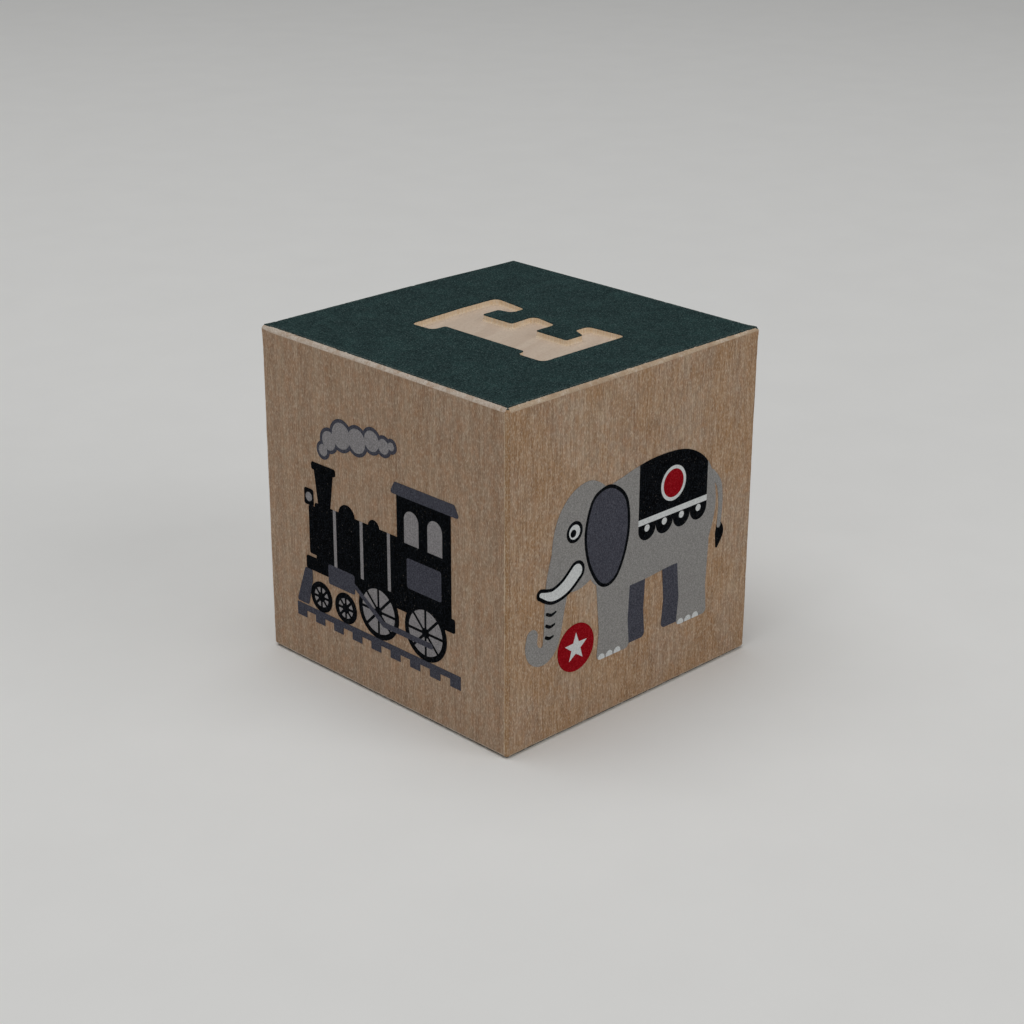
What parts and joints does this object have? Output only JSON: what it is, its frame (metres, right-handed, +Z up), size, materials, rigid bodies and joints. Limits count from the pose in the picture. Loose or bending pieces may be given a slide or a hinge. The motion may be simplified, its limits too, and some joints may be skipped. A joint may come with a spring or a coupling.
{
  "type": "alphabet block",
  "caption": "Wooden cube for play and spelling, with a letter cut through the paint of its top and underside and flat printed pictures on its four sides.",
  "frame": {"origin": "middle of the underside, on the outer face of its paint", "axes": "+Z up, out of the top face that carries the capital; the front, from which the capital reads upright, faces -Y; +X to the reader's right"},
  "size_m": [0.0446, 0.0446, 0.0447],
  "materials": {
    "wood": "sanded bare basswood, unfinished",
    "green_paint": "matte dark green paint",
    "black_ink": "matte, slightly speckled",
    "grey_ink": "matte, slightly speckled",
    "slate_ink": "matte, slightly speckled",
    "pale_ink": "matte, slightly speckled",
    "white_ink": "matte, slightly speckled",
    "red_ink": "matte, slightly speckled"
  },
  "bodies": {
    "root": {"wood_block": "wood", "top_paint": "green_paint", "bottom_paint": "green_paint", "elephant_grey_ink": "grey_ink", "elephant_slate_ink": "slate_ink", "elephant_black_ink": "black_ink", "elephant_white_ink": "white_ink", "elephant_red_ink": "red_ink", "engine_black_ink": "black_ink", "engine_slate_ink": "slate_ink", "engine_pale_ink": "pale_ink", "egg_pale_ink": "pale_ink", "egg_slate_ink": "slate_ink", "egg_black_ink": "black_ink", "egg_red_ink": "red_ink", "envelope_white_ink": "white_ink", "envelope_grey_ink": "grey_ink", "envelope_black_ink": "black_ink", "envelope_red_ink": "red_ink"}
  },
  "joints": []
}
